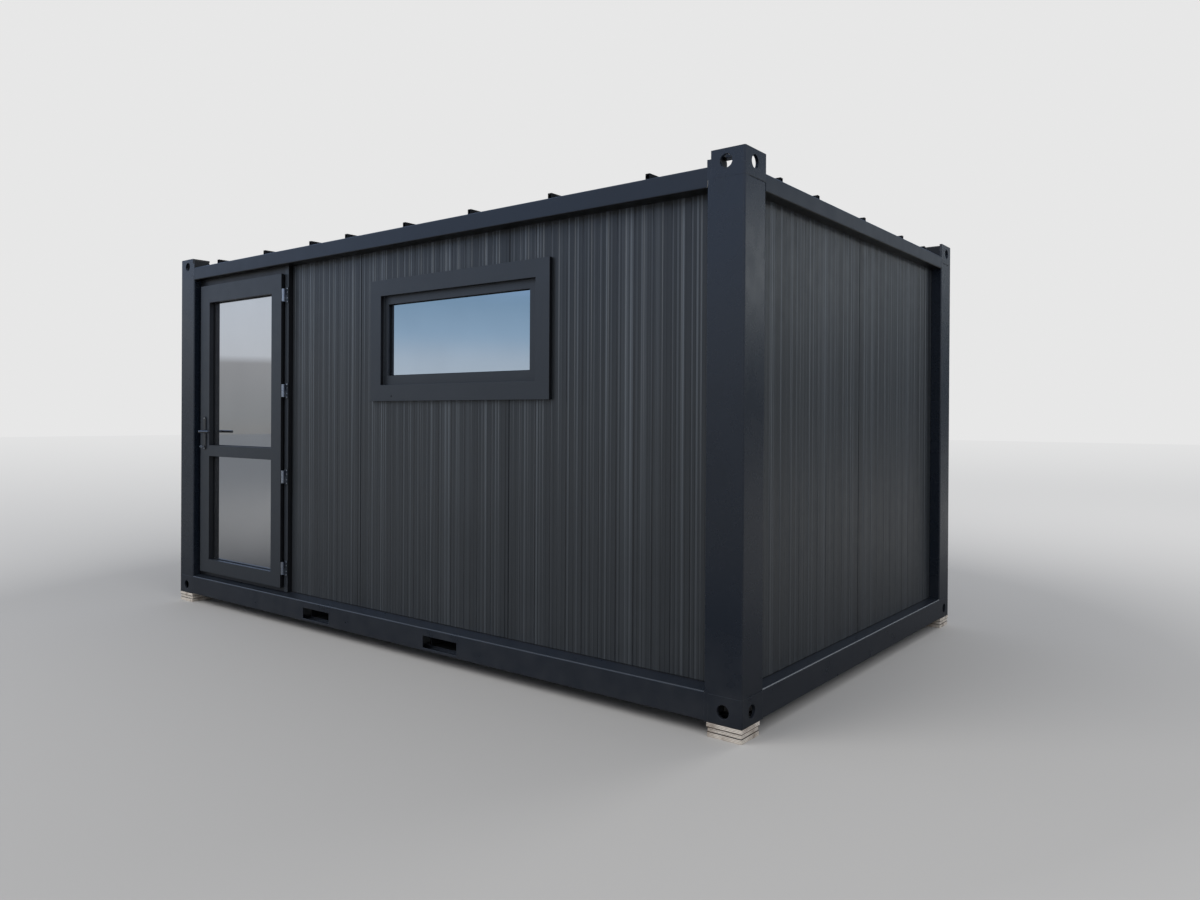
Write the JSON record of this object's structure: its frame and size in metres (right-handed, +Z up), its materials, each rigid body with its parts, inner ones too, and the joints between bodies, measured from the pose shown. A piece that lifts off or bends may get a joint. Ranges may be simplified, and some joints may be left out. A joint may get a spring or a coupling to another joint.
{
  "type": "toilet container",
  "caption": "Steel-framed sanitary cabin with sandwich walls, a glazed outward door with lever handle, a strip window, fork pockets and corner castings, on plywood packers.",
  "frame": {"origin": "middle of the footprint at ground level, under the packers", "axes": "+X along the length, -Y out of the face with the door and window, +Z up"},
  "size_m": [5, 3.0335, 2.6675],
  "materials": {
    "frame_paint": "satin anthracite paint",
    "wall_sheet": "coated ribbed sheet, satin",
    "door_paint": "powder coated aluminium, satin",
    "glass": "mirroring solar glass",
    "hinge_steel": "satin",
    "handle_steel": "brushed",
    "floor_board": "vinyl floor",
    "joist_steel": "galvanised",
    "roof_sheet": "coated trapezoidal sheet",
    "plywood": "raw birch plywood"
  },
  "bodies": {
    "container": {"corner_post_front_right": "frame_paint", "corner_post_front_left": "frame_paint", "corner_post_rear_right": "frame_paint", "corner_post_rear_left": "frame_paint", "top_casting_front_right": "frame_paint", "top_casting_front_left": "frame_paint", "top_casting_rear_right": "frame_paint", "top_casting_rear_left": "frame_paint", "bottom_casting_front_right": "frame_paint", "bottom_casting_front_left": "frame_paint", "bottom_casting_rear_right": "frame_paint", "bottom_casting_rear_left": "frame_paint", "bottom_rail_front": "frame_paint", "bottom_rail_rear": "frame_paint", "bottom_rail_right": "frame_paint", "bottom_rail_left": "frame_paint", "top_rail_front": "frame_paint", "top_rail_rear": "frame_paint", "top_rail_right": "frame_paint", "top_rail_left": "frame_paint", "fork_pocket_right": "frame_paint", "fork_pocket_left": "frame_paint", "roof_tabs": "frame_paint", "floor_joists": "joist_steel", "floor_slab": "floor_board", "roof_deck": "roof_sheet", "front_panel_right": "wall_sheet", "front_panel_middle": "wall_sheet", "front_panel_left": "wall_sheet", "rear_panel_1": "wall_sheet", "rear_panel_2": "wall_sheet", "rear_panel_3": "wall_sheet", "rear_panel_4": "wall_sheet", "right_panel_front": "wall_sheet", "right_panel_rear": "wall_sheet", "left_panel_front": "wall_sheet", "left_panel_rear": "wall_sheet", "door_frame": "door_paint", "window_casing": "door_paint", "window_sash": "door_paint", "window_glass": "glass", "hinge_frame_halves": "hinge_steel", "plywood_packers": "plywood"},
    "door": {"door_leaf": "door_paint", "door_glass_upper": "glass", "door_glass_lower": "glass", "door_glazing_beads": "door_paint", "hinge_leaf_halves": "hinge_steel", "handle_plate_outside": "handle_steel", "handle_plate_inside": "handle_steel", "key_cylinder": "handle_steel"},
    "handle": {"handle_lever": "handle_steel"}
  },
  "joints": [
    {"name": "door_hinge", "type": "hinge", "parent": "container", "child": "door", "pos_m": [-1.148, -1.46, 1.2675], "axis": [0, 0, 1], "range_deg": [0, 110]},
    {"name": "handle_turn", "type": "hinge", "parent": "door", "child": "handle", "pos_m": [-2.187, -1.469, 1.3275], "axis": [0, 1, 0], "range_deg": [0, 40], "stiffness_Nm_per_rad": 2, "springref_deg": -20.05}
  ]
}
